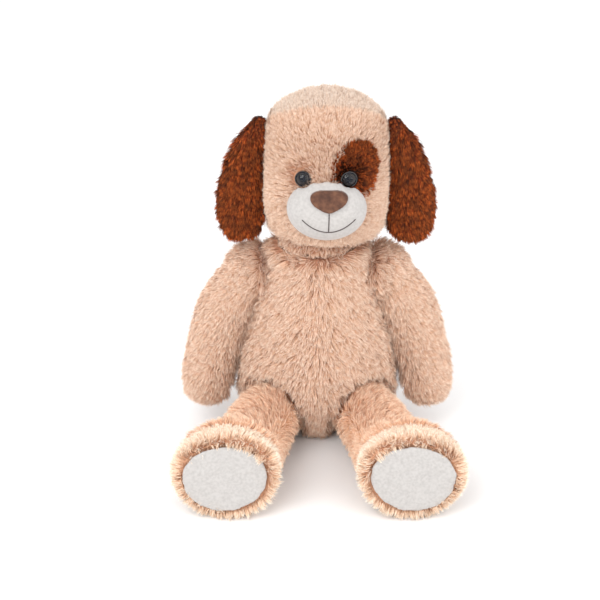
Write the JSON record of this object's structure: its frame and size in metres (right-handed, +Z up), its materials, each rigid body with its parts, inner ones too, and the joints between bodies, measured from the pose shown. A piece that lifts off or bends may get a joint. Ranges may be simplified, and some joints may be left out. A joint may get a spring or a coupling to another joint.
{
  "type": "plush dog",
  "caption": "Seated long-pile plush dog with hanging ears, soft swinging limbs, a turning head, smooth muzzle and foot pads, and round safety eyes.",
  "frame": {"origin": "middle of the toy's outline on the surface that it sits on", "axes": "+Z up, the dog faces -Y, and +X is on the dog's own left"},
  "size_m": [0.4118, 0.4404, 0.5361],
  "materials": {
    "beige_pile": "long pile",
    "brown_pile": "long pile",
    "white_velour": "short pile",
    "brown_velour": "short pile",
    "dark_thread": "satin thread",
    "fibre_fill": "loose fibre",
    "eye_clear": "polished",
    "eye_iris": "gloss",
    "eye_black": "gloss",
    "washer_plastic": "matte"
  },
  "bodies": {
    "trunk": {"body_front_left": "beige_pile", "body_front_right": "beige_pile", "body_back_left": "beige_pile", "body_back_right": "beige_pile", "body_filling": "fibre_fill"},
    "neck": {"neck_filling": "fibre_fill"},
    "head": {"face_panel": "beige_pile", "eye_patch": "brown_pile", "head_crown": "beige_pile", "head_back_left": "beige_pile", "head_back_right": "beige_pile", "head_filling": "fibre_fill", "muzzle_panel": "white_velour", "muzzle_filling": "fibre_fill", "nose": "brown_velour", "smile_stitching": "dark_thread", "centre_stitching": "dark_thread", "eye_left_dome": "eye_clear", "eye_left_iris": "eye_iris", "eye_left_base": "eye_black", "eye_left_washer": "washer_plastic", "eye_right_dome": "eye_clear", "eye_right_iris": "eye_iris", "eye_right_base": "eye_black", "eye_right_washer": "washer_plastic"},
    "tail": {"tail_cover": "brown_pile", "tail_filling": "fibre_fill"},
    "ear_left": {"ear_left_front": "brown_pile", "ear_left_back": "brown_pile"},
    "arm_left": {"arm_left_front": "beige_pile", "arm_left_back": "beige_pile", "arm_left_filling": "fibre_fill"},
    "leg_left": {"leg_left_outer": "beige_pile", "leg_left_inner": "beige_pile", "leg_left_filling": "fibre_fill", "foot_left_sole": "white_velour"},
    "ear_right": {"ear_right_front": "brown_pile", "ear_right_back": "brown_pile"},
    "arm_right": {"arm_right_front": "beige_pile", "arm_right_back": "beige_pile", "arm_right_filling": "fibre_fill"},
    "leg_right": {"leg_right_outer": "beige_pile", "leg_right_inner": "beige_pile", "leg_right_filling": "fibre_fill", "foot_right_sole": "white_velour"}
  },
  "joints": [
    {"name": "head_turn", "type": "hinge", "parent": "trunk", "child": "neck", "pos_m": [0, 0.092, 0.296], "axis": [0, 0, 1], "range_deg": [-30, 30], "stiffness_Nm_per_rad": 3},
    {"name": "head_nod", "type": "hinge", "parent": "neck", "child": "head", "pos_m": [0, 0.092, 0.296], "axis": [1, 0, 0], "range_deg": [-8, 8], "stiffness_Nm_per_rad": 6},
    {"name": "ear_left_lift", "type": "hinge", "parent": "head", "child": "ear_left", "pos_m": [0.11157, 0.084, 0.49513], "axis": [0, -1, 0], "range_deg": [0, 75]},
    {"name": "ear_right_lift", "type": "hinge", "parent": "head", "child": "ear_right", "pos_m": [-0.08642, 0.084, 0.49686], "axis": [0, 1, 0], "range_deg": [0, 75]},
    {"name": "arm_left_swing", "type": "hinge", "parent": "trunk", "child": "arm_left", "pos_m": [0.098, 0.092, 0.255], "axis": [-1, 0, 0], "range_deg": [-25, 95], "stiffness_Nm_per_rad": 0.25},
    {"name": "arm_right_swing", "type": "hinge", "parent": "trunk", "child": "arm_right", "pos_m": [-0.098, 0.092, 0.255], "axis": [-1, 0, 0], "range_deg": [-25, 95], "stiffness_Nm_per_rad": 0.25},
    {"name": "leg_left_swing", "type": "hinge", "parent": "trunk", "child": "leg_left", "pos_m": [0.062, 0.057, 0.051], "axis": [-1, 0, 0], "range_deg": [-85, 10], "stiffness_Nm_per_rad": 0.8},
    {"name": "leg_right_swing", "type": "hinge", "parent": "trunk", "child": "leg_right", "pos_m": [-0.062, 0.057, 0.051], "axis": [-1, 0, 0], "range_deg": [-85, 10], "stiffness_Nm_per_rad": 0.8},
    {"name": "tail_wag", "type": "hinge", "parent": "trunk", "child": "tail", "pos_m": [0, 0.176, 0.052], "axis": [0, 0, 1], "range_deg": [-20, 20], "stiffness_Nm_per_rad": 0.05}
  ]
}
